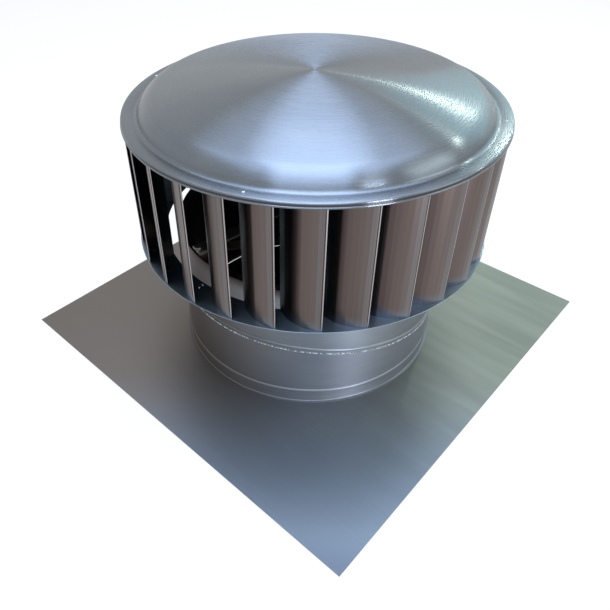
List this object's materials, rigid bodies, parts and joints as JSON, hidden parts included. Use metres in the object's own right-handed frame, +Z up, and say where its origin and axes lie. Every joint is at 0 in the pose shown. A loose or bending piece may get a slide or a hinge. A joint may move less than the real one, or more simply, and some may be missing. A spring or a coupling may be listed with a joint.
{
  "type": "roof turbine ventilator",
  "caption": "Wind-driven roof ventilator: a capped rotor of curved blades turns on a fixed shaft above a round throat on a square flashing sheet.",
  "frame": {"origin": "middle of the underside of the base sheet, on the rotor axis", "axes": "+Z up along the rotor axis; X and Y along the sides of the base sheet"},
  "size_m": [0.92, 0.92, 0.599],
  "materials": {
    "flashing_sheet": "rolled satin sheet",
    "upstand_sheet": "rolled satin sheet",
    "throat_sheet": "rolled satin sheet",
    "sealant": "cured grey sealant",
    "flat_bar": "mill finish bar",
    "zinc_fasteners": "bright zinc plate",
    "rivet_metal": "bright heads",
    "shaft_steel": "turned steel",
    "bearing_steel": "ground steel",
    "housing_metal": "turned",
    "ring_sheet": "satin sheet",
    "blade_sheet": "roll formed satin sheet",
    "spun_cap": "spun and brushed round"
  },
  "bodies": {
    "base": {"base_plate": "flashing_sheet", "upstand": "upstand_sheet", "throat_tube": "throat_sheet", "seam_sealant": "sealant", "lower_spider": "flat_bar", "upper_spider": "flat_bar", "spider_bolts": "zinc_fasteners", "spider_nuts": "zinc_fasteners", "shaft": "shaft_steel", "shaft_washers": "zinc_fasteners", "shaft_nuts": "zinc_fasteners", "lower_bearing_inner_ring": "bearing_steel", "upper_bearing_inner_ring": "bearing_steel", "bearing_spacer": "shaft_steel"},
    "rotor": {"cap": "spun_cap", "cap_rivets": "rivet_metal", "upper_ring": "ring_sheet", "lower_ring": "ring_sheet", "joint_plate": "ring_sheet", "joint_rivets": "rivet_metal", "rotor_spider": "flat_bar", "arm_rivets": "rivet_metal", "bearing_housing": "housing_metal", "housing_bolts": "zinc_fasteners", "housing_nuts": "zinc_fasteners", "lower_bearing_outer_ring": "bearing_steel", "upper_bearing_outer_ring": "bearing_steel", "retaining_ring": "bearing_steel", "dust_cap": "housing_metal", "blade_01": "blade_sheet", "blade_02": "blade_sheet", "blade_03": "blade_sheet", "blade_04": "blade_sheet", "blade_05": "blade_sheet", "blade_06": "blade_sheet", "blade_07": "blade_sheet", "blade_08": "blade_sheet", "blade_09": "blade_sheet", "blade_10": "blade_sheet", "blade_11": "blade_sheet", "blade_12": "blade_sheet", "blade_13": "blade_sheet", "blade_14": "blade_sheet", "blade_15": "blade_sheet", "blade_16": "blade_sheet", "blade_17": "blade_sheet", "blade_18": "blade_sheet", "blade_19": "blade_sheet", "blade_20": "blade_sheet", "blade_21": "blade_sheet", "blade_22": "blade_sheet", "blade_23": "blade_sheet", "blade_24": "blade_sheet", "blade_25": "blade_sheet", "blade_26": "blade_sheet", "blade_27": "blade_sheet", "blade_28": "blade_sheet"},
    "lower_ball_row": {"lower_bearing_balls": "bearing_steel"},
    "upper_ball_row": {"upper_bearing_balls": "bearing_steel"}
  },
  "joints": [
    {"name": "rotor_spin", "type": "hinge", "parent": "base", "child": "rotor", "pos_m": [0, 0, 0.45], "axis": [0, 0, 1], "continuous": true},
    {"name": "lower_balls_roll", "type": "hinge", "parent": "base", "child": "lower_ball_row", "pos_m": [0, 0, 0.457], "axis": [0, 0, 1], "continuous": true},
    {"name": "upper_balls_roll", "type": "hinge", "parent": "base", "child": "upper_ball_row", "pos_m": [0, 0, 0.527], "axis": [0, 0, 1], "continuous": true}
  ],
  "couplings": [
    {"joint": "lower_balls_roll", "follows": "rotor_spin", "ratio": 0.6179},
    {"joint": "upper_balls_roll", "follows": "rotor_spin", "ratio": 0.6179}
  ]
}
